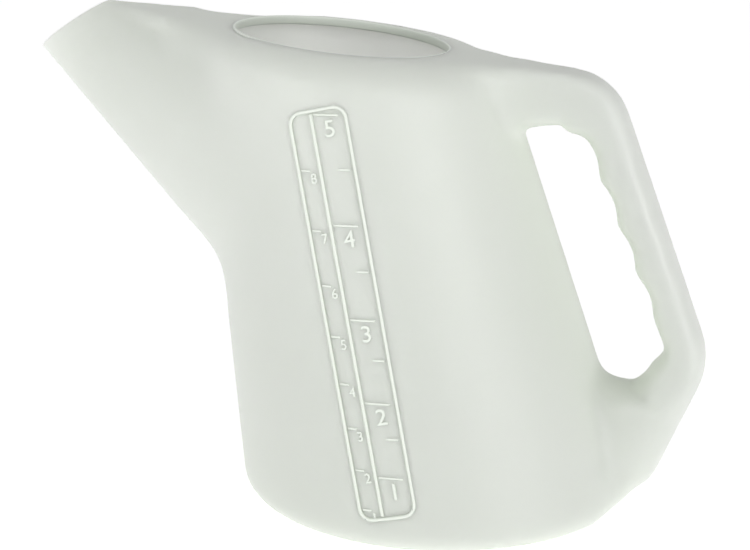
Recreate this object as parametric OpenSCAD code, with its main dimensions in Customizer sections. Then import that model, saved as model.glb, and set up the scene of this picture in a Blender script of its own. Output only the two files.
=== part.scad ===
// Measuring jug for feeding milk: one blow-moulded shell with a fixed spout and a hollow handle.
// The foot stands on Z = 0 with its middle at the origin. +X is the handle, -X the spout,
// and the scale is on the -Y side.

/* [Body] */
// Diameter of the body at the floor, before its edge is rounded
foot_d = 202; // [170:1:250]
// Height of the deck at the middle of the mouth
jug_h = 232; // [190:1:280]
// How far the middle of the mouth leans towards the spout
lean = 50; // [20:1:70]
// Slope of the deck, down towards the handle, in degrees
deck_slope = 6.5; // [0:0.5:10]
// Diameter of the body at the deck, before its edge is rounded
deck_d = 145; // [120:1:180]
// Thickness of the moulded wall
wall = 2; // [1.4:0.1:3]
// Radius of the edge round the foot
heel_r = 9; // [5:0.5:14]
// Height of the moulded bottom, heel and all
base_h = 14; // [14:1:30]
// Height that the middle of the floor is raised
push_up = 4; // [1:0.5:8]
// Width of the ring that the jug stands on
foot_ring_w = 14; // [8:1:24]
// Radius of the shoulder round the deck
shoulder_r = 14; // [6:0.5:18]

/* [Mouth] */
// Clear diameter of the filling mouth
mouth_d = 107; // [80:1:112]
// Depth of the turned-down lip
lip_h = 4.5; // [3:0.5:10]
// Thickness of the lip
lip_t = 3; // [2:0.1:4]
// How far the crest of the lip stands above the deck
crest_h = 0.8; // [0.3:0.1:2]

/* [Spout] */
// From the middle of the mouth to the spout's upper corner, along the deck
spout_reach = 127; // [100:1:150]
// Length of the pouring mouth, along its slanted cut
spout_cut_l = 44; // [30:1:56]
// Angle between the cut and the deck
spout_cut_a = 40.4; // [30:0.2:60]
// Angle of the spout between its top and its underside
spout_a = 40; // [34:0.2:50]
// Length of the thickened lip at the pouring mouth
spout_lip_l = 4; // [2:0.5:8]
// How far that lip is thicker than the wall
spout_lip_extra = 0.6; // [0.2:0.1:1.5]

/* [Handle] */
// From the middle of the foot to the middle of the grip's lower end
grip_low_x = 125.4; // [110:0.2:145]
// Height of the grip's lower end
grip_low_h = 85; // [80:0.2:110]
// Lean of the grip away from upright, in degrees
grip_lean = 20.5; // [10:0.5:28]
// Thickness of the grip, front to back
grip_t = 20.5; // [16:0.5:26]
// Width of the grip, side to side
grip_w = 30; // [24:1:38]
// Rounding of the grip's edges
grip_round = 9; // [5:0.5:9.5]
// Outer radius of the upper bend
elbow_r = 33; // [26:1:40]
// Wall of the handle
handle_wall = 2.2; // [1.6:0.1:3]
// Number of finger hollows
fingers = 4; // [2:1:5]
// Spacing of the finger hollows
finger_pitch = 25; // [20:0.5:30]
// Depth of each finger hollow
finger_depth = 2.4; // [1:0.1:4]
// From the grip's lower end up to the lowest ridge
finger_start = 16.5; // [0:0.5:20]
// Outer radius of the lower bend
bend_r = 36; // [30:1:60]
// Slope of the root's back, away from upright, in degrees
root_lean = 22.7; // [10:0.1:30]
// Width of the root at the toe
toe_w = 62; // [40:1:72]
// Clear width of the finger opening, from the grip to the body
gap_w = 40; // [34:1:46]
// Radius of the finger opening's lower end
gap_low_r = 15; // [10:0.5:17]
// How far that end lies below the grip's lower end
gap_drop = 0.6; // [0:0.1:12]
// Radius of the fillet under the arm
gap_top_r = 16; // [8:0.5:18]

// How far the fill in the upper corner of the finger opening runs down the grip
corner_fill = 12; // [6:1:20]

/* [Scale] */
// Width of the left column, from the divider to the frame
scale_left_w = 11; // [8:0.5:16]
// Width of the right column, from the divider to the frame
scale_right_w = 16.5; // [12:0.5:22]
// Height of the scale's lower end
scale_low = 17; // [16:0.5:40]
// From the scale's upper end down to the deck
scale_drop = 25; // [20:1:40]
// Corner radius of the scale
scale_corner = 6; // [2:0.5:8]
// How far the scale strip is sunk
scale_sink = 0.8; // [0.4:0.1:1.2]
// Width of the raised frame and divider
bead_w = 1.3; // [0.8:0.1:2]
// How far the frame stands proud of the body
bead_h = 0.5; // [0.3:0.1:1]
// Height of the raised marks and numbers above the strip
mark_h = 0.5; // [0.3:0.1:0.8]
// Thickness of a mark
mark_w = 1; // [0.6:0.1:1.6]
// Share of the contents that the body holds, the rest being in the spout and handle
body_share = 0.955; // [0.85:0.005:1]
// Contents at the top mark, in whole litres
litres = 5; // [2:1:5]
// Height of a litre number
number_h = 8; // [5:0.5:10]

/* [Seam] */
// Width of the mould seam
seam_w = 0.9; // [0.5:0.1:1.5]
// Height of the mould seam
seam_h = 0.4; // [0.2:0.1:0.8]

/* [Hidden] */
seg = 96;
foot_r = foot_d / 2;
deck_r = deck_d / 2;
mouth_r = mouth_d / 2;
taper = foot_r - deck_r;
body_lean = atan(lean / jug_h);
body_l = norm([lean, jug_h]);
// widest half of the body's slanted section at the floor and below the shoulder
foot_half = foot_r / cos(body_lean);
skew = body_lean + deck_slope;
shoulder_half = (deck_r + shoulder_r * taper / body_l) / cos(skew);
shoulder_shift = shoulder_r * tan(skew);
ring_in = foot_r - heel_r - foot_ring_w;
// how much deeper than the wall the spout's hollow lies under the deck
ease = 0.15;
milk = [0.93, 0.95, 0.91];
strip_tint = [0.88, 0.9, 0.86];
bead_tint = [0.97, 0.98, 0.95];

module in_deck() {
  translate([-lean, 0, jug_h]) rotate([0, deck_slope, 0]) children();
}

// ---- body ----------------------------------------------------------------------------------

// the leaning cone, long enough to pass both ends, with its surface moved in by off
module cone(off) {
  over = 60;
  rotate([0, -body_lean, 0]) translate([0, 0, -over])
    cylinder(r1 = foot_r + taper * over / body_l - off, r2 = deck_r - taper * over / body_l - off,
      h = body_l + 2 * over, $fn = seg);
}

// a disc of radius r and height h whose lower edge is rounded
module foot_disc(r, h, round) {
  rotate_extrude($fn = seg) {
    if (h > round) translate([0, round]) square([r, h - round]);
    square([r - round, round]);
    intersection() {
      translate([r - round, round]) circle(r = round, $fn = 64);
      square([r, round]);
    }
  }
}

module foot_round(off, low) {
  translate([-base_h * tan(body_lean) / 2, 0, low])
    foot_disc(foot_half + base_h * tan(body_lean) / 2 - off, base_h, heel_r - off);
}

// the shoulder's rounding in six slopes, as a disc that hangs from the deck
module deck_round(off, more) {
  r = shoulder_r - off;
  far = shoulder_half + 0.5 - off;
  in_deck() translate([shoulder_shift, 0, -off]) mirror([0, 0, 1])
    rotate_extrude($fn = seg)
      polygon(concat(
        [[0, 0]],
        [for (a = [90 : -15 : 0]) [far - r * (1 - cos(a)), r * (1 - sin(a))]],
        [[far, r + more], [0, r + more]]));
}

module above(z) {
  translate([-300, -200, z]) cube([600, 400, 400]);
}

module deck_below(depth) {
  in_deck() translate([-300, -200, -400 - depth]) cube([600, 400, 400]);
}

module base_pan() {
  color(milk)
  difference() {
    intersection() {
      cone(0);
      foot_round(0, 0);
    }
    difference() {
      intersection() {
        cone(wall);
        foot_round(wall, wall);
        above(wall);
      }
      translate([0, 0, -1])
        cylinder(r1 = ring_in + wall + 1, r2 = ring_in + wall - push_up, h = push_up + wall + 1,
          $fn = seg);
    }
    translate([0, 0, -1])
      cylinder(r1 = ring_in + 1, r2 = ring_in - push_up, h = push_up + 1, $fn = seg);
  }
}

module body_wall() {
  color(milk)
  difference() {
    intersection() {
      cone(0);
      above(base_h);
      deck_below(shoulder_r);
    }
    cone(wall);
    spout_cone(wall);
    arm_bar(handle_wall);
    root_window();
    scale_prism();
  }
}

module top_deck() {
  color(milk)
  difference() {
    intersection() {
      cone(0);
      deck_round(0, 0);
    }
    intersection() {
      cone(wall);
      deck_round(wall, 1);
    }
    in_deck() translate([0, 0, -shoulder_r])
      cylinder(r = mouth_r + lip_t, h = 2 * shoulder_r, $fn = seg);
    spout_cone(wall);
    arm_bar(handle_wall);
  }
}

module mouth_rim() {
  color(milk)
  in_deck() rotate_extrude($fn = seg) {
    translate([mouth_r, -lip_h]) square([lip_t, lip_h - lip_t / 2 + crest_h]);
    translate([mouth_r + lip_t / 2, crest_h - lip_t / 2]) circle(d = lip_t, $fn = 24);
  }
}

// ---- spout ---------------------------------------------------------------------------------

// distance along the deck from the spout's upper corner out to the tip of its cone
spout_half_a = spout_a / 2;
cut_drop = spout_cut_l * sin(spout_cut_a);
cut_run = spout_cut_l * cos(spout_cut_a);
tip_over = cut_run + cut_drop / tan(spout_a);
spout_l = (spout_reach + tip_over + mouth_r * 0.2) * cos(spout_half_a);

module spout_cone(off) {
  shift = (off > 0 ? off + ease : off) / sin(spout_half_a);
  in_deck() translate([-spout_reach - tip_over, 0, 0]) rotate([0, 90 + spout_half_a, 0])
    translate([0, 0, shift])
      cylinder(r1 = 0, r2 = (spout_l - shift) * tan(spout_half_a), h = spout_l - shift, $fn = seg);
}

// what lies beyond the cut, drawn back by d
module past_cut(d) {
  in_deck() translate([-spout_reach, 0, 0]) rotate([0, -spout_cut_a, 0])
    translate([-200, -100, -d]) cube([400, 200, 200]);
}

module spout_wall() {
  color(milk)
  difference() {
    spout_cone(0);
    spout_cone(wall);
    cone(0);
    past_cut(spout_lip_l);
  }
}

module spout_lip() {
  color(milk)
  intersection() {
    difference() {
      spout_cone(-spout_lip_extra);
      spout_cone(wall);
      past_cut(0);
    }
    past_cut(spout_lip_l);
    deck_below(0);
  }
}

// ---- handle --------------------------------------------------------------------------------

grip_dir = [-sin(grip_lean), cos(grip_lean)];
grip_out = [cos(grip_lean), sin(grip_lean)];
deck_dir = [cos(deck_slope), -sin(deck_slope)];
deck_down = [-sin(deck_slope), -cos(deck_slope)];
grip_low = [grip_low_x, grip_low_h];
grip_edge = grip_low + grip_out * grip_t / 2;
deck_mid = [-lean, jug_h];
// where the grip's outer line crosses the deck line
corner_up = cross2(deck_mid - grip_edge, deck_dir) / cross2(grip_dir, deck_dir);
corner = grip_edge + grip_dir * corner_up;
elbow_turn = 90 - grip_lean - deck_slope;
elbow_tail = elbow_r * tan(elbow_turn / 2);
elbow_start = corner - deck_dir * elbow_tail;
elbow_mid = elbow_start + deck_down * elbow_r;
grip_l = corner_up - elbow_tail;
arm_in = elbow_start[0] - deck_r + lean + 25;
bend_mid = grip_edge - grip_out * bend_r;
bend_turn = grip_lean + root_lean;
root_dir = [-sin(root_lean), -cos(root_lean)];
root_top = bend_mid + [cos(root_lean), -sin(root_lean)] * bend_r;
root_l = root_top[1] / cos(root_lean);
root_half_a = atan((toe_w - grip_w) / 2 / root_l);
root_tip = grip_w / 2 / sin(root_half_a);
gap_low_c = grip_low - grip_out * (grip_t / 2 + gap_low_r) - grip_dir * gap_drop;
arm_under = elbow_start + deck_down * grip_t;
gap_side = gap_top_r - gap_w - grip_t / 2;
gap_side_p = grip_low + grip_out * gap_side;
gap_up = (gap_top_r - (gap_side_p - arm_under) * deck_down) / (grip_dir * deck_down);
gap_top_c = gap_side_p + grip_dir * gap_up;
grip_top = grip_low + grip_dir * grip_l;

function cross2(a, b) = a[0] * b[1] - a[1] * b[0];

module round_bar(w, d, r) {
  for (x = [-1, 1], y = [-1, 1])
    translate([x * (w / 2 - r), y * (d / 2 - r)]) circle(r = r, $fn = 32);
  square([w - 2 * r, d], center = true);
  square([w, d - 2 * r], center = true);
}

module grip_section(less) {
  round_bar(grip_t - 2 * less, grip_w - 2 * less, grip_round - less);
}

// draws in the middle plane, x across and y up, w wide in all
module side_plate(w) {
  translate([0, w / 2, 0]) rotate([90, 0, 0]) linear_extrude(w) children();
}

module in_grip() {
  translate([grip_low[0], 0, grip_low[1]]) rotate([0, -grip_lean, 0]) children();
}

// a bend of the handle about mid, from angle a, turning by turn
module bend(mid, r, a, turn, less) {
  translate([mid[0], 0, mid[1]]) rotate([90, 0, 0]) rotate([0, 0, a])
    rotate_extrude(angle = turn, $fn = seg) translate([r - grip_t / 2, 0]) grip_section(less);
}

// the straight part of the arm, which runs into the body
module arm_bar(less) {
  translate([elbow_start[0], 0, elbow_start[1]]) rotate([0, deck_slope, 0])
    translate([0, 0, -grip_t / 2]) rotate([0, -90, 0]) linear_extrude(arm_in) grip_section(less);
}

module arm_form(less) {
  arm_bar(less);
  bend(elbow_mid, elbow_r, grip_lean, elbow_turn, less);
  difference() {
    side_plate(grip_w - 2 * less) polygon([
      gap_top_c - grip_out * (gap_top_r + 8),
      gap_top_c - deck_down * (gap_top_r + 4) - deck_dir * (gap_top_r + 8),
      elbow_start + deck_down * (grip_t - 3),
      elbow_mid + [1, 1] * (elbow_r - grip_t + 2) * 0.7,
      grip_top - grip_out * (grip_t / 2 + less),
      grip_top - grip_out * (grip_t / 2 + less) - grip_dir * (corner_fill - less),
      gap_top_c]);
    side_plate(2 * grip_w) translate(gap_top_c) circle(r = gap_top_r + less, $fn = seg);
  }
}

module handle_arm() {
  color(milk)
  difference() {
    arm_form(0);
    arm_form(handle_wall);
    cone(0);
  }
}

finger_half = finger_pitch / 2 - 1.5;
finger_r = (finger_half * finger_half + finger_depth * finger_depth) / (2 * finger_depth);

module handle_grip() {
  color(milk)
  in_grip() difference() {
    linear_extrude(grip_l) grip_section(0);
    for (i = [0 : fingers - 1])
      translate([-grip_t / 2 - finger_r + finger_depth, 0, finger_start + (i + 0.5) * finger_pitch])
        rotate([90, 0, 0]) cylinder(r = finger_r, h = 2 * grip_w, center = true, $fn = seg);
    translate([finger_depth / 2, 0, -1]) linear_extrude(grip_l + 2)
      round_bar(grip_t - 2 * handle_wall - finger_depth, grip_w - 2 * handle_wall,
        grip_round - handle_wall - finger_depth / 2);
  }
}

// the way from the body into the root's hollow
module root_window() {
  translate([foot_r - 60, 0, root_top[1] / 2]) rotate([0, 90, 0])
    cylinder(r = grip_w / 2 - handle_wall, h = 60, $fn = seg);
}

// the lower root as one solid, or its hollow when less is the wall
module root_form(less) {
  shift = less / sin(root_half_a);
  reach = root_tip + root_l + 40;
  bend(bend_mid, bend_r, -root_lean - 2, bend_turn + 2, less);
  difference() {
    union() {
      intersection() {
        translate([root_top[0], 0, root_top[1]]) rotate([0, 180 + root_lean, 0])
          translate([0, 0, -root_tip]) rotate([0, root_half_a, 0]) translate([0, 0, shift])
            cylinder(r1 = 0, r2 = (reach - shift) * tan(root_half_a), h = reach - shift, $fn = seg);
        above(less + 0.6);
        translate([root_top[0], 0, root_top[1]]) rotate([0, 180 + root_lean, 0])
          translate([-200, -200, 0]) cube(400);
      }
      side_plate(grip_w - 2 * less)
        polygon([[foot_r - 45, root_top[1] - 25], root_top - [22, 20], root_top - [20, -20],
          [foot_r - 45, root_top[1] + 30]]);
    }
    side_plate(4 * grip_w) {
      translate(gap_low_c) circle(r = gap_low_r + less, $fn = seg);
      translate(gap_low_c) rotate([0, 0, grip_lean]) translate([-60 - gap_low_r, 0])
        square([60 + 2 * gap_low_r + less, 80]);
    }
  }
}

module handle_root() {
  color(milk)
  difference() {
    root_form(0);
    root_form(handle_wall);
    cone(0);
  }
}

// ---- scale ---------------------------------------------------------------------------------

scale_high = (jug_h - scale_drop) / cos(body_lean);
scale_w = scale_left_w + scale_right_w;
scale_len = scale_high - scale_low;

module in_scale() {
  rotate([0, -body_lean, 0]) translate([0, -30, 0]) rotate([90, 0, 0])
    linear_extrude(foot_r) children();
}

// a rectangle whose corners turn in six steps
module soft_box(w, h, r) {
  polygon([
    for (c = [[1, 1, 0], [-1, 1, 90], [-1, -1, 180], [1, -1, 270]], a = [0 : 15 : 90])
      [c[0] * (w / 2 - r) + r * cos(c[2] + a), c[1] * (h / 2 - r) + r * sin(c[2] + a)]]);
}

module scale_outline(less) {
  translate([(scale_right_w - scale_left_w) / 2, (scale_low + scale_high) / 2])
    soft_box(scale_w - 2 * less, scale_len - 2 * less, scale_corner - less);
}

module scale_prism() {
  in_scale() scale_outline(0);
}

// the layer of the wall between two depths below the body's surface, where its children are
module in_layer(shallow, deep) {
  difference() {
    intersection() {
      cone(shallow);
      in_scale() children();
    }
    cone(deep);
  }
}

module scale_strip() {
  color(strip_tint)
  in_layer(scale_sink, scale_sink + wall) scale_outline(0);
}

module scale_frame() {
  color(bead_tint)
  in_layer(-bead_h, scale_sink) difference() {
    scale_outline(0);
    scale_outline(bead_w);
  }
}

module scale_divider() {
  color(bead_tint)
  in_layer(-bead_h / 2, scale_sink) translate([-bead_w / 2, scale_low + bead_w])
    square([bead_w, scale_len - 2 * bead_w]);
}

// how far up the scale the liquid stands when the jug holds v litres, from the cone's volume
inner_foot = foot_r - wall;
function fill_up(v) = let (k = taper / jug_h, c = v * body_share * 1e6)
  (push_up + (inner_foot - pow(pow(inner_foot, 3) - 3 * k * c / PI, 1 / 3)) / k) / cos(body_lean);

module mark_layer() {
  in_layer(scale_sink - mark_h, scale_sink) children();
}

module level_bar(v, x, l) {
  translate([x, fill_up(v)]) rotate([0, 0, -body_lean])
    translate([0, -mark_w / 2]) square([l, mark_w]);
}

module litre_marks() {
  color(bead_tint)
  mark_layer() for (v = [1 : litres]) level_bar(v, bead_w, scale_right_w * 0.7);
}

module half_litre_marks() {
  color(bead_tint)
  mark_layer() for (v = [1 : litres - 1])
    level_bar(v + 0.5, scale_right_w * 0.52, scale_right_w * 0.34);
}

// a straight stroke whose square ends pass its corners by half its width
module stroke(p, q, w) {
  translate(p) rotate([0, 0, atan2(q[1] - p[1], q[0] - p[0])])
    translate([-w / 2, -w / 2]) square([norm(q - p) + w, w]);
}

// the corners of a number's stroke, in a cell 5 wide and 8 high
function strokes(d) =
  d == 1 ? [[1.2, 6.2], [2.7, 7.6], [2.7, 0.4]] :
  d == 2 ? [[0.6, 6.2], [1.4, 7.4], [3.4, 7.4], [4.3, 6.2], [4, 4.6], [0.6, 0.5], [4.5, 0.5]] :
  d == 3 ? [[0.6, 7.4], [4.2, 7.4], [2.3, 4.6], [4.1, 3.7], [4.3, 1.9], [3, 0.6], [0.6, 0.9]] :
  d == 4 ? [[3.4, 0.4], [3.4, 7.6], [0.5, 2.6], [4.6, 2.6]] :
  d == 5 ? [[4.2, 7.4], [1.1, 7.4], [0.9, 4.4], [3, 4.7], [4.3, 3.2], [4.1, 1.4], [2.8, 0.5],
    [0.6, 0.8]] :
  d == 6 ? [[3.9, 7.2], [2, 6.4], [0.8, 3.8], [0.9, 1.5], [2.4, 0.5], [4, 1.3], [4.1, 3.2],
    [2.6, 4.3], [0.9, 3.2]] :
  d == 7 ? [[0.6, 7.4], [4.4, 7.4], [2, 0.4]] :
  [[2.5, 4.2], [0.9, 5.4], [1.1, 7], [2.5, 7.5], [3.9, 7], [4.1, 5.4], [2.5, 4.2], [0.8, 2.8],
    [0.9, 1], [2.5, 0.5], [4.1, 1], [4.2, 2.8], [2.5, 4.2]];

module number(d, h, w) {
  k = h / 8;
  line = strokes(d);
  for (i = [1 : len(line) - 1]) stroke(line[i - 1] * k, line[i] * k, w);
}

module litre_numbers() {
  color(bead_tint)
  mark_layer() for (v = [1 : litres])
    translate([scale_right_w * 0.5 - number_h * 0.32, fill_up(v) - number_h - 3.4])
      number(v, number_h, mark_w);
}

pint = 0.568261;
pints = floor(litres / pint);

module pint_marks() {
  color(bead_tint)
  mark_layer() for (v = [1 : pints]) level_bar(v * pint, -scale_left_w * 0.86, scale_left_w * 0.4);
}

module pint_numbers() {
  color(bead_tint)
  mark_layer() for (v = [1 : pints])
    translate([-scale_left_w * 0.5, fill_up(v * pint) - number_h * 0.6 - 2])
      number(v, number_h * 0.6, mark_w * 0.8);
}

// ---- seam ----------------------------------------------------------------------------------

module mould_seam() {
  color(bead_tint)
  in_deck() translate([-spout_reach + spout_lip_l + 2, -seam_w / 2, 0])
    cube([spout_reach - spout_lip_l - mouth_r - lip_t - 3, seam_w, seam_h]);
}

base_pan();
body_wall();
top_deck();
mouth_rim();
spout_wall();
spout_lip();
handle_arm();
handle_grip();
handle_root();
scale_strip();
scale_frame();
scale_divider();
litre_marks();
half_litre_marks();
litre_numbers();
pint_marks();
pint_numbers();
mould_seam();
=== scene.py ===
import logging
import math
from dataclasses import dataclass
from enum import Enum

import bmesh
import bpy
import numpy as np
from mathutils import Matrix, Vector
from mathutils.bvhtree import BVHTree


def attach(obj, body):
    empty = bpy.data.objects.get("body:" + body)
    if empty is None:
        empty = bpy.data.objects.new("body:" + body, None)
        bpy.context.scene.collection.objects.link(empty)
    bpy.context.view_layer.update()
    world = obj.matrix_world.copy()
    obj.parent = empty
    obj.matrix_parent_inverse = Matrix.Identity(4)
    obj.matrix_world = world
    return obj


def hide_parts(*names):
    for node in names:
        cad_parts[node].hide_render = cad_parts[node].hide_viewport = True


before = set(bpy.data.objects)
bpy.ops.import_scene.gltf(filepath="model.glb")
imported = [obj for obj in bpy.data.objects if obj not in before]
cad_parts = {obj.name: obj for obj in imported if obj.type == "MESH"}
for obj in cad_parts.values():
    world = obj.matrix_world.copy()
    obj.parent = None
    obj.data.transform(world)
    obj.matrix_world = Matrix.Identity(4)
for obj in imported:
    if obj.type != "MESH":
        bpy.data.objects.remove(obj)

LOG = logging.getLogger("jug")
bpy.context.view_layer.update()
MM = 0.001
PINT = 0.568261  # litres in an imperial pint


class Tone(Enum):
    """The linear base colours of the jug's finishes."""

    MILK = (0.825, 0.885, 0.765)
    RELIEF = (0.70, 0.74, 0.68)
    FLOOR = (0.86, 0.86, 0.86)


@dataclass(frozen=True)
class JugSizes:
    """The sizes that the pieces share, in metres and degrees."""

    foot_r: float = 101.0 * MM
    deck_r: float = 72.5 * MM
    height: float = 232.0 * MM
    lean: float = 50.0 * MM
    deck_slope: float = 6.5
    wall: float = 2.0 * MM
    heel_r: float = 9.0 * MM
    shoulder_r: float = 14.0 * MM
    foot_ring: float = 14.0 * MM
    push_up: float = 4.0 * MM
    mouth_r: float = 53.5 * MM
    lip_h: float = 4.5 * MM
    spout_reach: float = 127.0 * MM
    spout_cut_l: float = 44.0 * MM
    spout_cut_a: float = 40.4
    spout_a: float = 40.0

    @property
    def length(self) -> float:
        """The length of the body's axis from the floor to the deck."""
        return math.hypot(self.lean, self.height)

    @property
    def axis(self) -> Vector:
        """The direction of the body's axis."""
        return Vector((-self.lean, 0.0, self.height)).normalized()

    @property
    def taper(self) -> float:
        """How much narrower the body is at the deck than at the floor."""
        return self.foot_r - self.deck_r

    @property
    def deck_mid(self) -> Vector:
        """The middle of the deck."""
        return Vector((-self.lean, 0.0, self.height))

    @property
    def deck_up(self) -> Vector:
        """The deck's normal."""
        a = math.radians(self.deck_slope)
        return Vector((math.sin(a), 0.0, math.cos(a)))

    @property
    def deck_along(self) -> Vector:
        """The direction down the deck, towards the handle."""
        a = math.radians(self.deck_slope)
        return Vector((math.cos(a), 0.0, -math.sin(a)))

    @property
    def deck_frame(self) -> Matrix:
        """The deck's own axes, with its middle as their origin."""
        turn = Matrix.Rotation(math.radians(self.deck_slope), 4, "Y")
        return Matrix.Translation(self.deck_mid) @ turn

    @property
    def spout_tip(self) -> Vector:
        """The apex of the spout's cone, which lies in the deck's plane."""
        drop = self.spout_cut_l * math.sin(math.radians(self.spout_cut_a))
        run = self.spout_cut_l * math.cos(math.radians(self.spout_cut_a))
        over = run + drop / math.tan(math.radians(self.spout_a))
        return self.deck_mid - self.deck_along * (self.spout_reach + over)

    @property
    def spout_axis(self) -> Vector:
        """The direction of the spout's axis, from its tip into the body."""
        a = math.radians(self.deck_slope + self.spout_a / 2)
        return Vector((math.cos(a), 0.0, -math.sin(a)))


SIZES = JugSizes()


# ---- mesh tools ----------------------------------------------------------------------------


def finished(bm: bmesh.types.BMesh, name: str) -> bpy.types.Object:
    """Makes an object of a bmesh, with outward faces.

    Args:
        bm: the mesh, which is freed.
        name: the object's name.

    Returns:
        The object, linked to the scene at the origin.
    """
    bmesh.ops.recalc_face_normals(bm, faces=bm.faces)
    mesh = bpy.data.meshes.new(name)
    bm.to_mesh(mesh)
    bm.free()
    piece = bpy.data.objects.new(name, mesh)
    bpy.context.scene.collection.objects.link(piece)
    return piece


def settle(piece: bpy.types.Object) -> bpy.types.Object:
    """Applies a piece's modifiers to its mesh.

    Args:
        piece: the object.

    Returns:
        The same object, with no modifiers.
    """
    bpy.context.view_layer.update()
    graph = bpy.context.evaluated_depsgraph_get()
    mesh = bpy.data.meshes.new_from_object(piece.evaluated_get(graph))
    old = piece.data
    piece.modifiers.clear()
    piece.data = mesh
    bpy.data.meshes.remove(old)
    return piece


def dropped(*pieces: bpy.types.Object) -> None:
    """Takes helper objects out of the scene."""
    for piece in pieces:
        mesh = piece.data
        bpy.data.objects.remove(piece)
        bpy.data.meshes.remove(mesh)


def cut_away(piece: bpy.types.Object, cutter: bpy.types.Object) -> None:
    """Cuts a closed mesh out of another and drops the cutter."""
    modifier = piece.modifiers.new("cut", "BOOLEAN")
    modifier.operation = "DIFFERENCE"
    modifier.object = cutter
    modifier.solver = "MANIFOLD"
    settle(piece)
    dropped(cutter)


def smooth_shaded(piece: bpy.types.Object, angle: float = 35.0) -> None:
    """Shades a piece smoothly, except at edges sharper than an angle in degrees."""
    mesh = piece.data
    mesh.shade_smooth()
    mesh.set_sharp_from_angle(angle=math.radians(angle))


def ramp(values: np.ndarray, low: float, high: float) -> np.ndarray:
    """A smooth step from 0 at low to 1 at high."""
    t = np.clip((values - low) / (high - low), 0.0, 1.0)
    return t * t * (3.0 - 2.0 * t)


def points_of(mesh: bpy.types.Mesh) -> np.ndarray:
    """The positions of a mesh's points, as rows."""
    flat = np.empty(len(mesh.vertices) * 3, np.float32)
    mesh.vertices.foreach_get("co", flat)
    return flat.reshape(-1, 3).astype(float)


def put_points(mesh: bpy.types.Mesh, rows: np.ndarray) -> None:
    """Moves a mesh's points to the given rows."""
    mesh.vertices.foreach_set("co", rows.astype(np.float32).ravel())
    mesh.update()


# ---- the moulding --------------------------------------------------------------------------


@dataclass
class Station:
    """One section across the handle: a point of its outer line, the outward direction there,
    the thickness inward from it, the width, and how much narrower the inner end is."""

    place: tuple[float, float]
    out: float
    thick: float
    wide: float
    power: float = 2.9
    pinch: float = 0.0


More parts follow.
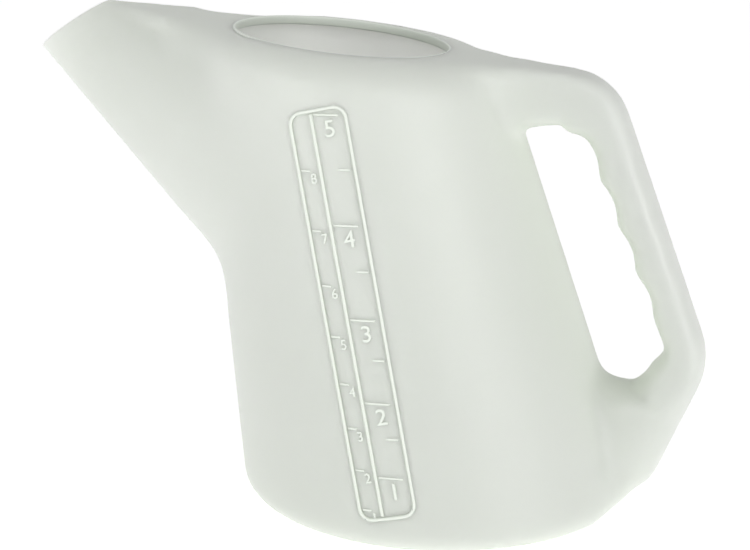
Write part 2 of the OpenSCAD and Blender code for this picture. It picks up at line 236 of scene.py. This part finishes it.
@dataclass
class Moulding:
    """The jug's one skin: the body, the spout and the hollow handle, blown as one piece."""

    sizes: JugSizes = SIZES
    grip_low: tuple[float, float] = (125.4, 85.0)
    grip_lean: float = 20.5
    grip_t: float = 20.5
    grip_w: float = 30.0
    elbow_r: float = 33.0
    bend_r: float = 36.0
    root_lean: float = 22.7
    toe_w: float = 62.0
    fingers: int = 4
    finger_pitch: float = 25.0
    finger_depth: float = 2.4
    finger_start: float = 16.7
    crown_deep: float = 16.0
    crown_round: float = 5.5
    crown_plan: tuple[tuple[float, float], ...] = (
        (22.0, 54.0), (0.0, 60.0), (-40.0, 48.0), (-62.0, 38.0), (-85.0, 27.0),
        (-110.0, 16.0), (-135.0, 6.0))
    voxel: float = 2.3 * MM
    round_steps: int = 192
    overall_turns: int = 6
    spout_turns: int = 160
    arm_turns: int = 24
    root_turns: int = 40

    # -- the three forms --

    def body_form(self) -> bpy.types.Object:
        """Makes the leaning cone, cut at the floor and the deck, with rounded edges."""
        s = self.sizes
        over = 0.06
        bm = bmesh.new()
        grow = s.taper * over / s.length
        turn = Matrix.Rotation(-math.atan2(s.lean, s.height), 4, "Y")
        place = turn @ Matrix.Translation((0.0, 0.0, s.length / 2))
        bmesh.ops.create_cone(
            bm, cap_ends=True, segments=self.round_steps, radius1=s.foot_r + grow,
            radius2=s.deck_r - grow, depth=s.length + 2 * over, matrix=place)
        for spot, normal, size in (
            (Vector(), Vector((0.0, 0.0, -1.0)), s.heel_r),
            (s.deck_mid, s.deck_up, s.shoulder_r),
        ):
            self.cut_flat(bm, spot, normal)
            loop = [e for e in bm.edges
                    if all(abs((v.co - spot).dot(normal)) < 1e-6 for v in e.verts)]
            bmesh.ops.bevel(bm, geom=loop, offset=size, offset_type="OFFSET", segments=8,
                            profile=0.5, affect="EDGES", material=-1)
        floor = [f for f in bm.faces if f.normal.z < -0.999]
        bmesh.ops.inset_region(bm, faces=floor, thickness=s.foot_ring, use_even_offset=True)
        bmesh.ops.inset_region(bm, faces=floor, thickness=s.push_up, depth=0.0,
                               use_even_offset=True)
        bmesh.ops.translate(bm, vec=(0.0, 0.0, s.push_up),
                            verts=list({v for f in floor for v in f.verts}))
        return finished(bm, "body_form")

    @staticmethod
    def cut_flat(bm: bmesh.types.BMesh, spot: Vector, normal: Vector) -> None:
        """Cuts away what lies beyond a plane and closes the cut."""
        geom = bm.verts[:] + bm.edges[:] + bm.faces[:]
        cut = bmesh.ops.bisect_plane(bm, geom=geom, plane_co=spot, plane_no=normal,
                                     clear_outer=True)
        edges = [g for g in cut["geom_cut"] if isinstance(g, bmesh.types.BMEdge)]
        bmesh.ops.contextual_create(bm, geom=edges)
        bm.normal_update()

    def spout_form(self) -> bpy.types.Object:
        """Makes the spout's cone, from just past its cut to well inside the body."""
        s = self.sizes
        half = math.tan(math.radians(s.spout_a / 2))
        start, end = 0.030, 0.190
        bm = bmesh.new()
        turn = s.spout_axis.to_track_quat("Z", "Y").to_matrix().to_4x4()
        middle = s.spout_tip + s.spout_axis * (start + end) / 2
        bmesh.ops.create_cone(
            bm, cap_ends=True, segments=self.round_steps, radius1=start * half,
            radius2=end * half, depth=end - start, matrix=Matrix.Translation(middle) @ turn)
        return finished(bm, "spout_form")

    def crown_form(self) -> bpy.types.Object:
        """Makes the flat top that runs from the deck out along the spout."""
        s = self.sizes
        bm = bmesh.new()
        spots = self.crown_plan
        right = [bm.verts.new((x * MM, y * MM, 0.0)) for x, y in spots]
        left = [bm.verts.new((x * MM, -y * MM, 0.0)) for x, y in reversed(spots)]
        face = bm.faces.new(right + left)
        made = bmesh.ops.extrude_face_region(bm, geom=[face])["geom"]
        low = [g for g in made if isinstance(g, bmesh.types.BMVert)]
        bmesh.ops.translate(bm, vec=(0.0, 0.0, -self.crown_deep * MM), verts=low)
        top = [e for e in bm.edges if all(abs(v.co.z) < 1e-6 for v in e.verts)]
        bmesh.ops.bevel(bm, geom=top, offset=self.crown_round * MM, offset_type="OFFSET",
                        segments=6, profile=0.5, affect="EDGES", material=-1)
        bmesh.ops.transform(bm, matrix=s.deck_frame, verts=bm.verts)
        return finished(bm, "crown_form")

    def finger_line(self, up: float) -> float:
        """How far the grip's inner line is drawn in at a height up the grip, in mm."""
        turn = (up - self.finger_start) / self.finger_pitch
        if not 0.0 <= turn < self.fingers:
            return 0.0
        half = 0.5 - 1.5 / self.finger_pitch
        across = (turn % 1.0 - 0.5) / half
        return self.finger_depth * max(0.0, 1.0 - across * across)

    def stations(self) -> list[Station]:
        """Works out the handle's sections along its outer line, from the arm to the toe."""
        lean = math.radians(self.grip_lean)
        slope = math.radians(self.sizes.deck_slope)
        up = Vector((-math.sin(lean), math.cos(lean)))
        out = Vector((math.cos(lean), math.sin(lean)))
        along = Vector((math.cos(slope), -math.sin(slope)))
        edge = Vector(self.grip_low) + out * self.grip_t / 2
        deck = Vector((self.sizes.deck_mid.x, self.sizes.deck_mid.z)) / MM
        gap = deck - edge
        rise = (gap.x * along.y - gap.y * along.x) / (up.x * along.y - up.y * along.x)
        corner = edge + up * rise
        turn = math.pi / 2 - lean - slope
        tail = self.elbow_r * math.tan(turn / 2)
        start = corner - along * tail
        middle = start + Vector((-math.sin(slope), -math.cos(slope))) * self.elbow_r
        rows: list[Station] = []
        # the arm, whose underside turns down into the body's side
        under = ((-30, 60, 86, 0), (10, 60, 80, 0), (26, 60, 62, 0.2), (32, 56, 50, 0.3),
                 (38, 45, 43, 0.3), (42, 37.5, 40, 0.25), (45.5, 33, 37, 0.2),
                 (49.5, 30.4, 35, 0.1), (54, 28.4, 33, 0.05), (59, 27, 32, 0),
                 (64, 26, 31, 0))
        for x, thick, wide, pinch in under:
            place = deck + along * ((x - deck.x) / along.x)
            rows.append(Station(tuple(place), math.pi / 2 - slope, thick, wide, 7.0, pinch))
        for i in range(9):
            a = math.pi / 2 - slope - turn * i / 8
            place = middle + Vector((math.cos(a), math.sin(a))) * self.elbow_r
            thick = float(np.interp(i / 8, (0, 0.5, 1), (25.6, 30.0, 26.0)))
            rows.append(Station(tuple(place), a, thick, self.grip_w, 6.0 - 3.1 * i / 8))
        length = rise - tail
        steps = int(length / 1.6)
        for i in range(1, steps):
            high = length * (1 - i / steps)
            place = edge + up * high
            thick = self.grip_t - self.finger_line(high) + 4.6 * high / length - 1.6
            rows.append(Station(tuple(place), lean, thick, self.grip_w))
        middle = edge - out * self.bend_r
        low = -math.radians(self.root_lean)
        for i in range(11):
            a = lean + (low - lean) * i / 10
            place = middle + Vector((math.cos(a), math.sin(a))) * self.bend_r
            thick = float(np.interp(i / 10, (0, 0.5, 1), (19.0, 23.0, 26.5)))
            rows.append(Station(tuple(place), a, thick, self.grip_w))
        top = middle + Vector((math.cos(low), math.sin(low))) * self.bend_r
        down = Vector((math.sin(low), -math.cos(low)))
        leg = top.y / math.cos(low)
        for run, thick, pinch in (
                (2.5, 26, 0), (5, 26.5, 0), (9, 28, 0.1), (12.5, 30, 0.25), (15.3, 32, 0.4),
                (17.3, 42, 0.5), (20, 56, 0.5), (25, 62, 0.42), (31, 62, 0.3), (38, 62, 0.15),
                (45, 62, 0.05), (55, 62, 0), (65, 62, 0), (95, 62, 0)):
            wide = self.grip_w + (self.toe_w - self.grip_w) * min(run / leg, 1.0)
            rows.append(Station(tuple(top + down * run), low, thick, wide, 2.5, pinch))
        return rows

    def handle_form(self) -> bpy.types.Object:
        """Makes the handle as one bar, bridged from section to section."""
        bm = bmesh.new()
        last = None
        for row in self.stations():
            made = bmesh.ops.create_circle(bm, cap_ends=False, radius=1.0, segments=48)
            verts = made["verts"]
            for v in verts:
                a = math.atan2(v.co.y, v.co.x)
                c, s = math.cos(a), math.sin(a)
                e = 2.0 / row.power
                v.co.x = math.copysign(abs(c) ** e, c) * row.thick / 2 * MM
                v.co.y = math.copysign(abs(s) ** e, s) * row.wide / 2 * MM
                v.co.y *= 1.0 - row.pinch * max(0.0, -c)
            out = Vector((math.cos(row.out), 0.0, math.sin(row.out)))
            side = Vector((0.0, 1.0, 0.0))
            along = out.cross(side)
            spot = Vector((row.place[0], 0.0, row.place[1])) * MM - out * row.thick / 2 * MM
            place = Matrix((out, side, along)).transposed().to_4x4()
            place.translation = spot
            bmesh.ops.transform(bm, matrix=place, verts=verts)
            edges = list({e for v in verts for e in v.link_edges})
            if last:
                bmesh.ops.bridge_loops(bm, edges=last + edges)
            else:
                bmesh.ops.contextual_create(bm, geom=edges)
            last = edges
        bmesh.ops.contextual_create(bm, geom=last)
        self.cut_flat(bm, Vector((0.0, 0.0, 9.5 * MM)), Vector((0.0, 0.0, -1.0)))
        return finished(bm, "handle_form")

    # -- the blend --

    @staticmethod
    def distances(rows: np.ndarray, form: bpy.types.Object) -> np.ndarray:
        """How far each point lies from a form's surface, in mm."""
        bm = bmesh.new()
        bm.from_mesh(form.data)
        tree = BVHTree.FromBMesh(bm)
        bm.free()
        return np.array([tree.find_nearest(Vector(p))[3] for p in rows]) / MM

    def joined(self, forms: list[bpy.types.Object]) -> bpy.types.Object:
        """Joins the forms into one closed skin of even faces."""
        bm = bmesh.new()
        for form in forms:
            bm.from_mesh(form.data)
        skin = finished(bm, "moulded_shell")
        modifier = skin.modifiers.new("even", "REMESH")
        modifier.mode = "VOXEL"
        modifier.voxel_size = self.voxel
        return settle(skin)

    @staticmethod
    def relaxed(skin: bpy.types.Object, weights: np.ndarray, turns: int) -> None:
        """Smooths a skin where its weights are above nothing."""
        group = skin.vertex_groups.new(name="relax")
        for level in range(1, 11):
            chosen = np.nonzero(np.round(weights * 10) == level)[0]
            group.add(chosen.tolist(), level / 10, "REPLACE")
        modifier = skin.modifiers.new("relax", "SMOOTH")
        modifier.factor = 0.5
        modifier.iterations = turns
        modifier.vertex_group = group.name
        settle(skin)
        skin.vertex_groups.clear()

    def snapped(self, skin: bpy.types.Object, body: np.ndarray, spout: np.ndarray,
                handle: np.ndarray) -> None:
        """Puts the plain parts of the body and the spout back on their exact cones."""
        s = self.sizes
        rows = points_of(skin.data)
        below = -(rows - np.array(s.deck_mid)) @ np.array(s.deck_up) / MM
        clear = ramp(handle, 7, 13)
        clear *= ramp(rows[:, 2] / MM, 11, 17)
        on_body = clear * ramp(below, 17, 23) * ramp(spout, 16, 24) * (body < 2.5)
        on_spout = clear * ramp(body, 16, 24) * (spout < 1.2) * ramp(below, 20, 28)
        axis, tip = np.array(s.axis), np.array(s.spout_tip)
        spine = np.array(s.spout_axis)
        for start, line, base, slope, weight in (
            (np.zeros(3), axis, s.foot_r, -s.taper / s.length, on_body),
            (tip, spine, 0.0, math.tan(math.radians(s.spout_a / 2)), on_spout),
        ):
            up = (rows - start) @ line
            foot = start + up[:, None] * line
            across = rows - foot
            far = np.linalg.norm(across, axis=1)
            want = base + slope * up
            move = (want / np.maximum(far, 1e-9) - 1.0) * weight
            rows = rows + across * move[:, None]
        put_points(skin.data, rows)

    def hollow(self, skin: bpy.types.Object) -> bpy.types.Object:
        """Makes the closed form of the jug's inside, a wall's thickness in."""
        mesh = skin.data.copy()
        rows = points_of(mesh)
        flat = np.empty(len(mesh.vertices) * 3, np.float32)
        mesh.vertex_normals.foreach_get("vector", flat)
        put_points(mesh, rows - flat.reshape(-1, 3) * self.sizes.wall)
        inside = bpy.data.objects.new("inside", mesh)
        bpy.context.scene.collection.objects.link(inside)
        return inside

    def mouth_cutter(self) -> bpy.types.Object:
        """Makes the plug that opens the filling mouth."""
        s = self.sizes
        bm = bmesh.new()
        bmesh.ops.create_cone(
            bm, cap_ends=True, segments=self.round_steps, radius1=s.mouth_r + 1.1 * MM,
            radius2=s.mouth_r + 1.1 * MM, depth=0.016, matrix=s.deck_frame)
        return finished(bm, "mouth_cutter")

    def tip_cutter(self) -> bpy.types.Object:
        """Makes the block beyond the spout's slanted cut."""
        s = self.sizes
        bm = bmesh.new()
        turn = Matrix.Rotation(-math.radians(s.spout_cut_a), 4, "Y")
        spot = Matrix.Translation((-s.spout_reach, 0.0, 0.0))
        place = s.deck_frame @ spot @ turn @ Matrix.Translation((-0.05, 0.0, 0.05))
        bmesh.ops.create_cube(bm, size=0.1, matrix=place @ Matrix.Diagonal((2, 1.4, 1, 1)))
        return finished(bm, "tip_cutter")

    def build(self) -> bpy.types.Object:
        """Builds the whole skin.

        Returns:
            The closed shell, with its mouth, its spout and its handle open to each other.
        """
        forms = [self.body_form(), self.spout_form(), self.handle_form()]
        crown = self.crown_form()
        skin = self.joined([*forms, crown])
        dropped(crown)
        LOG.info("skin: %d points", len(skin.data.vertices))
        rows = points_of(skin.data)
        body, spout, handle = (self.distances(rows, form) for form in forms)
        self.relaxed(skin, np.ones(len(rows)), self.overall_turns)
        self.snapped(skin, body, spout, handle)
        self.relaxed(skin, 1 - ramp(np.maximum(body, spout), 8, 22), self.spout_turns)
        low = ramp(-rows[:, 2] / MM, -110, -90)
        self.relaxed(skin, 1 - ramp(np.maximum(body, handle), 4, 13), self.arm_turns)
        self.relaxed(skin, low * (1 - ramp(np.maximum(body, handle), 6, 20)),
                     self.root_turns)
        dropped(*forms)
        inside = self.hollow(skin)
        scale = ScalePanel()
        cut_away(inside, scale.recess_cutter(self.sizes.wall / MM + scale.sink))
        cut_away(skin, inside)
        cut_away(skin, self.mouth_cutter())
        cut_away(skin, self.tip_cutter())
        cut_away(skin, scale.recess_cutter(scale.sink))
        smooth_shaded(skin)
        return skin


# ---- the small pieces ----------------------------------------------------------------------


@dataclass
class MouthRim:
    """The turned-down lip round the filling mouth."""

    sizes: JugSizes = SIZES
    thick: float = 2.0 * MM
    proud: float = 0.15 * MM
    steps: int = 160

    def build(self) -> bpy.types.Object:
        """Spins the lip's section round the mouth's axis."""
        s = self.sizes
        bm = bmesh.new()
        crest = self.thick / 2
        bmesh.ops.create_circle(
            bm, cap_ends=False, radius=crest, segments=20,
            matrix=Matrix.Translation((s.mouth_r + crest, 0.0, self.proud - crest))
            @ Matrix.Rotation(math.pi / 2, 4, "X"))
        for v in bm.verts:
            if v.co.z < self.proud - crest - 1e-6:
                v.co.z -= s.lip_h - self.thick + self.proud
        bmesh.ops.spin(bm, geom=bm.verts[:] + bm.edges[:], cent=(0, 0, 0), axis=(0, 0, 1),
                       angle=2 * math.pi, steps=self.steps, use_merge=True)
        bmesh.ops.remove_doubles(bm, verts=bm.verts, dist=1e-6)
        bmesh.ops.transform(bm, matrix=s.deck_frame, verts=bm.verts)
        rim = finished(bm, "mouth_lip")
        smooth_shaded(rim, 50)
        return rim


@dataclass
class ScalePanel:
    """The sunk strip with its raised frame, divider, marks and numbers."""

    sizes: JugSizes = SIZES
    left_w: float = 11.0
    right_w: float = 16.5
    low: float = 17.0
    drop: float = 25.0
    corner: float = 6.0
    sink: float = 0.8
    bead_w: float = 1.5
    proud: float = 0.35
    mark_h: float = 0.35
    body_share: float = 0.955
    litres: int = 5
    number_h: float = 8.0

    @property
    def lean(self) -> float:
        """The angle of the body's axis from upright, in radians."""
        return math.atan2(self.sizes.lean, self.sizes.height)

    @property
    def high(self) -> float:
        """The strip's upper end, along the body's axis, in mm."""
        return (self.sizes.height / MM - self.drop) / math.cos(self.lean)

    def level(self, litres: float) -> float:
        """Where along the strip the liquid stands for a volume, in mm."""
        s = self.sizes
        slope = s.taper / s.height
        inner = (s.foot_r - s.wall) / MM
        cubic = inner ** 3 - 3 * slope * litres * self.body_share * 1e6 / math.pi
        rise = s.push_up / MM + (inner - cubic ** (1 / 3)) / slope
        return rise / math.cos(self.lean)

    def wrapped(self, bm: bmesh.types.BMesh) -> bmesh.types.BMesh:
        """Bends a flat mesh onto the body's cone: x across, y up the axis, z outward, in mm."""
        s = self.sizes
        across = Vector((math.cos(self.lean), 0.0, math.sin(self.lean)))
        for v in bm.verts:
            radius = s.foot_r - s.taper * v.co.y * MM / s.length + v.co.z * MM
            x = v.co.x * MM
            deep = -math.sqrt(radius * radius - x * x)
            v.co = across * x + s.axis * v.co.y * MM + Vector((0.0, deep, 0.0))
        return bm

    @staticmethod
    def sliced(bm: bmesh.types.BMesh, axis: int, pitch: float) -> None:
        """Cuts a flat mesh into strips, so that it can bend."""
        low = min(v.co[axis] for v in bm.verts)
        high = max(v.co[axis] for v in bm.verts)
        normal = Vector((0.0, 0.0, 0.0))
        normal[axis] = 1.0
        for i in range(1, math.ceil((high - low) / pitch)):
            geom = bm.verts[:] + bm.edges[:] + bm.faces[:]
            bmesh.ops.bisect_plane(bm, geom=geom, plane_co=normal * (low + i * pitch),
                                   plane_no=normal)

    def outline(self, less: float) -> bmesh.types.BMesh:
        """Makes the strip's outline as one flat face, drawn in by less."""
        wide = self.left_w + self.right_w
        tall = self.high - self.low
        bm = bmesh.new()
        place = Matrix.Translation(((self.right_w - self.left_w) / 2,
                                    (self.low + self.high) / 2, 0.0))
        size = Matrix.Diagonal((wide / 2 - less, tall / 2 - less, 1.0, 1.0))
        bmesh.ops.create_grid(bm, x_segments=1, y_segments=1, size=1.0, matrix=place @ size)
        bmesh.ops.bevel(bm, geom=bm.verts[:], offset=self.corner - less,
                        offset_type="OFFSET", segments=8, profile=0.5, affect="VERTICES",
                        material=-1)
        return bm

    @staticmethod
    def raised(bm: bmesh.types.BMesh, low: float, high: float, ease: float) -> None:
        """Thickens flat faces from one height to another and rounds their upper edges."""
        made = bmesh.ops.extrude_face_region(bm, geom=bm.faces[:])["geom"]
        top = {g for g in made if isinstance(g, bmesh.types.BMVert)}
        for v in bm.verts:
            v.co.z = high if v in top else low
        bm.normal_update()
        if ease > 0:
            rim = [e for e in bm.edges if all(v in top for v in e.verts)
                   and any(abs(f.normal.z) < 0.5 for f in e.link_faces)]
            bmesh.ops.bevel(bm, geom=rim, offset=ease, offset_type="OFFSET", segments=3,
                            profile=0.5, affect="EDGES", material=-1)

    def recess_cutter(self, deep: float) -> bpy.types.Object:
        """Makes the block that sinks the strip's outline to a depth in mm."""
        bm = self.outline(0.0)
        self.sliced(bm, 0, 2.0)
        self.sliced(bm, 1, 12.0)
        self.raised(bm, -deep, 4.0, 0.0)
        return finished(self.wrapped(bm), "recess_cutter")

    def frame(self) -> bpy.types.Object:
        """Makes the raised line round the strip."""
        bm = self.outline(-self.bead_w * 0.4)
        inner = bmesh.ops.inset_region(bm, faces=bm.faces[:], thickness=self.bead_w,
                                       use_even_offset=True, use_boundary=True)
        middle = [f for f in bm.faces if f not in inner["faces"]]
        bmesh.ops.delete(bm, geom=middle, context="FACES")
        self.sliced(bm, 0, 3.0)
        self.sliced(bm, 1, 12.0)
        self.raised(bm, -self.sink - 0.2, self.proud, 0.5)
        return finished(self.wrapped(bm), "scale_frame_bead")

    def bars(self, name: str, rows: list[tuple[float, float, float, float, float]],
             high: float) -> bpy.types.Object:
        """Makes raised bars, one for each row of left, low, width, height and turn."""
        bm = bmesh.new()
        for left, low, wide, tall, turn in rows:
            part = bmesh.new()
            place = Matrix.Translation((left, low, 0.0)) @ Matrix.Rotation(turn, 4, "Z")
            shift = Matrix.Translation((wide / 2, 0.0, 0.0))
            size = Matrix.Diagonal((wide / 2, tall / 2, 1.0, 1.0))
            bmesh.ops.create_grid(part, x_segments=1, y_segments=1, size=1.0,
                                  matrix=place @ shift @ size)
            self.sliced(part, 0, 2.5)
            self.sliced(part, 1, 12.0)
            self.raised(part, -self.sink - 0.2, high, min(tall, wide) * 0.35)
            mesh = bpy.data.meshes.new("bar")
            part.to_mesh(mesh)
            part.free()
            bm.from_mesh(mesh)
            bpy.data.meshes.remove(mesh)
        return finished(self.wrapped(bm), name)

    def divider(self) -> bpy.types.Object:
        """Makes the raised line between the two columns."""
        tall = self.high - self.low - 2 * self.bead_w
        row = (-self.bead_w / 2, (self.low + self.high) / 2, self.bead_w, tall, 0.0)
        return self.bars("scale_divider_bead", [row], self.proud * 0.5)

    def marks(self, name: str, levels: list[float], left: float,
              wide: float) -> bpy.types.Object:
        """Makes level marks that lie flat when the jug stands."""
        rows = [(left, self.level(v), wide, 1.0, -self.lean) for v in levels]
        return self.bars(name, rows, -self.sink + self.mark_h)

    def numbers(self, name: str, rows: list[tuple[int, float, float, float]],
                ) -> bpy.types.Object:
        """Makes raised numbers, one for each row of number, middle, foot and height."""
        bm = bmesh.new()
        for number, middle, foot, tall in rows:
            data = bpy.data.curves.new("number", "FONT")
            data.body = str(number)
            data.align_x = "CENTER"
            data.size = tall / 0.72
            data.extrude = 0.1
            data.bevel_depth = 0.14
            data.bevel_resolution = 2
            data.resolution_u = 4
            helper = bpy.data.objects.new("number", data)
            bpy.context.scene.collection.objects.link(helper)
            bpy.context.view_layer.update()
            graph = bpy.context.evaluated_depsgraph_get()
            mesh = bpy.data.meshes.new_from_object(helper.evaluated_get(graph))
            mesh.transform(Matrix.Translation((middle, foot, -self.sink + 0.11)))
            bm.from_mesh(mesh)
            bpy.data.objects.remove(helper)
            bpy.data.curves.remove(data)
            bpy.data.meshes.remove(mesh)
        bmesh.ops.remove_doubles(bm, verts=bm.verts, dist=0.001)
        return finished(self.wrapped(bm), name)

    def build(self) -> list[tuple[bpy.types.Object, str]]:
        """Builds the raised pieces.

        Returns:
            Each piece with the node it stands for.
        """
        whole = [float(v) for v in range(1, self.litres + 1)]
        halves = [v + 0.5 for v in whole[:-1]]
        pints = [v * PINT for v in range(1, int(self.litres / PINT) + 1)]
        tall = self.number_h
        made = [
            (self.frame(), "scale_frame"),
            (self.divider(), "scale_divider"),
            (self.marks("litre_lines", whole, self.bead_w, self.right_w * 0.7),
             "litre_marks"),
            (self.marks("half_litre_lines", halves, self.right_w * 0.52,
                        self.right_w * 0.34), "half_litre_marks"),
            (self.numbers("litre_figures", [
                (int(v), self.right_w * 0.48, self.level(v) - tall - 3.4, tall)
                for v in whole]), "litre_numbers"),
            (self.marks("pint_lines", pints, -self.left_w * 0.86, self.left_w * 0.4),
             "pint_marks"),
            (self.numbers("pint_figures", [
                (i + 1, -self.left_w * 0.36, self.level(v) - tall * 0.6 - 2.0, tall * 0.6)
                for i, v in enumerate(pints)]), "pint_numbers"),
        ]
        for piece, _ in made:
            smooth_shaded(piece, 50)
        return made


# ---- finishes ------------------------------------------------------------------------------


@dataclass(frozen=True)
class MilkyPlastic:
    """Natural polythene: milky, faintly green and satin, with a fine moulded grain.

    A depth of 1 scatters all light below the surface. Thin raised pieces set into the skin
    use a depth of 0, since they came out too dark with 1.
    """

    name: str
    tone: Tone
    rough: float = 0.42
    grain: float = 0.05
    depth: float = 1.0

    def make(self) -> bpy.types.Material:
        """Makes the material."""
        material = bpy.data.materials.new(self.name)
        material.use_nodes = True
        tree = material.node_tree
        nodes, links = tree.nodes, tree.links
        shader = nodes["Principled BSDF"]
        shader.inputs["IOR"].default_value = 1.51
        shader.inputs["Subsurface Weight"].default_value = self.depth
        shader.inputs["Subsurface Radius"].default_value = (1.0, 0.96, 1.0)
        shader.inputs["Subsurface Scale"].default_value = 0.013
        place = nodes.new("ShaderNodeTexCoord")
        # broad clouds where the wall is a little thicker or thinner
        cloud = nodes.new("ShaderNodeTexNoise")
        cloud.inputs["Scale"].default_value = 14.0
        cloud.inputs["Detail"].default_value = 3.0
        links.new(place.outputs["Object"], cloud.inputs["Vector"])
        tint = nodes.new("ShaderNodeMix")
        tint.data_type = "RGBA"
        r, g, b = self.tone.value
        tint.inputs[6].default_value = (r * 0.97, g * 0.975, b * 0.96, 1.0)
        tint.inputs[7].default_value = (r * 1.02, g * 1.015, b * 1.02, 1.0)
        links.new(cloud.outputs["Fac"], tint.inputs[0])
        links.new(tint.outputs[2], shader.inputs["Base Color"])
        # satin whose gloss varies with the mould's surface
        sheen = nodes.new("ShaderNodeTexNoise")
        sheen.inputs["Scale"].default_value = 90.0
        sheen.inputs["Detail"].default_value = 4.0
        links.new(place.outputs["Object"], sheen.inputs["Vector"])
        span = nodes.new("ShaderNodeMapRange")
        span.inputs["To Min"].default_value = self.rough - 0.05
        span.inputs["To Max"].default_value = self.rough + 0.07
        links.new(sheen.outputs["Fac"], span.inputs["Value"])
        links.new(span.outputs["Result"], shader.inputs["Roughness"])
        grain = nodes.new("ShaderNodeTexNoise")
        grain.inputs["Scale"].default_value = 700.0
        grain.inputs["Detail"].default_value = 2.0
        links.new(place.outputs["Object"], grain.inputs["Vector"])
        bump = nodes.new("ShaderNodeBump")
        bump.inputs["Strength"].default_value = self.grain
        bump.inputs["Distance"].default_value = 0.0004
        links.new(grain.outputs["Fac"], bump.inputs["Height"])
        links.new(bump.outputs["Normal"], shader.inputs["Normal"])
        return material


def dress(piece: bpy.types.Object, material: bpy.types.Material) -> None:
    """Gives a piece one material."""
    piece.data.materials.clear()
    piece.data.materials.append(material)


# ---- the studio ----------------------------------------------------------------------------


@dataclass
class Studio:
    """The floor, the light and the camera."""

    target: tuple[float, float, float] = (-33.55 * MM, 0.0, 108.34 * MM)
    away: float = 868.5 * MM
    turn: float = 15.0
    rise: float = 15.71
    roll: float = -0.16
    lens: float = 80.27

    def camera(self) -> None:
        """Sets the camera."""
        data = bpy.data.cameras.new("camera")
        data.lens = self.lens
        data.sensor_width = 36.0
        data.clip_start = 0.01
        data.clip_end = 20.0
        camera = bpy.data.objects.new("camera", data)
        bpy.context.scene.collection.objects.link(camera)
        turn, rise = math.radians(self.turn), math.radians(self.rise)
        back = Vector((math.sin(turn) * math.cos(rise), -math.cos(turn) * math.cos(rise),
                       math.sin(rise)))
        right = Vector((0.0, 0.0, 1.0)).cross(back).normalized()
        up = back.cross(right)
        tilt = math.radians(self.roll)
        side = right * math.cos(tilt) + up * math.sin(tilt)
        top = up * math.cos(tilt) - right * math.sin(tilt)
        place = Matrix((side, top, back)).transposed().to_4x4()
        place.translation = Vector(self.target) + back * self.away
        camera.matrix_world = place
        bpy.context.scene.camera = camera

    def floor(self) -> None:
        """Lays the pale floor."""
        bm = bmesh.new()
        bmesh.ops.create_grid(bm, x_segments=1, y_segments=1, size=6.0)
        floor = finished(bm, "floor")
        for v in floor.data.vertices:
            v.co.z = -0.0002
        material = bpy.data.materials.new("floor_paper")
        material.use_nodes = True
        shader = material.node_tree.nodes["Principled BSDF"]
        shader.inputs["Base Color"].default_value = (*Tone.FLOOR.value, 1.0)
        shader.inputs["Roughness"].default_value = 0.9
        shader.inputs["Emission Color"].default_value = (1.0, 1.0, 1.0, 1.0)
        shader.inputs["Emission Strength"].default_value = 0.42
        dress(floor, material)

    @staticmethod
    def panel(name: str, spot: tuple[float, float, float], size: float, power: float) -> None:
        """Hangs one soft light that looks at the jug."""
        data = bpy.data.lights.new(name, "AREA")
        data.shape = "SQUARE"
        data.size = size
        data.energy = power
        light = bpy.data.objects.new(name, data)
        bpy.context.scene.collection.objects.link(light)
        light.location = spot
        aim = Vector((-0.03, 0.0, 0.12)) - Vector(spot)
        light.rotation_euler = aim.to_track_quat("-Z", "Y").to_euler()

    def build(self) -> None:
        """Sets the whole studio."""
        self.camera()
        self.floor()
        self.panel("left_panel", (-0.9, -1.7, 0.5), 1.2, 9.3)
        self.panel("right_panel", (1.5, -1.0, 0.4), 1.2, 14.0)
        world = bpy.data.worlds.new("room")
        world.use_nodes = True
        world.node_tree.nodes["Background"].inputs["Color"].default_value = (1, 1, 1, 1)
        world.node_tree.nodes["Background"].inputs["Strength"].default_value = 0.66
        bpy.context.scene.world = world
        bpy.context.scene.view_settings.view_transform = "Standard"


# ---- the object ----------------------------------------------------------------------------


SKIN_NODES = ("base_pan", "body_wall", "top_deck", "spout_wall", "spout_lip", "handle_arm",
              "handle_grip", "handle_root", "scale_strip", "mould_seam")


def main() -> None:
    """Builds the jug and its studio."""
    logging.basicConfig(level=logging.INFO, format="%(message)s")
    Studio().build()
    milk = MilkyPlastic("milky_polythene", Tone.MILK).make()
    lip = MilkyPlastic("mouth_lip_polythene", Tone.RELIEF, depth=0.0).make()
    relief = MilkyPlastic("raised_marks", Tone.RELIEF, depth=0.0).make()
    skin = Moulding().build()
    dress(skin, milk)
    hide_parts(*SKIN_NODES)
    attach(skin, "root")
    LOG.info("moulded_shell: %d faces", len(skin.data.polygons))
    rim = MouthRim().build()
    dress(rim, lip)
    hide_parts("mouth_rim")
    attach(rim, "root")
    LOG.info("mouth_lip: %d faces", len(rim.data.polygons))
    for piece, node in ScalePanel().build():
        dress(piece, relief)
        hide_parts(node)
        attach(piece, "root")
        LOG.info("%s: %d faces", piece.name, len(piece.data.polygons))


if __name__ == "__main__":
    main()
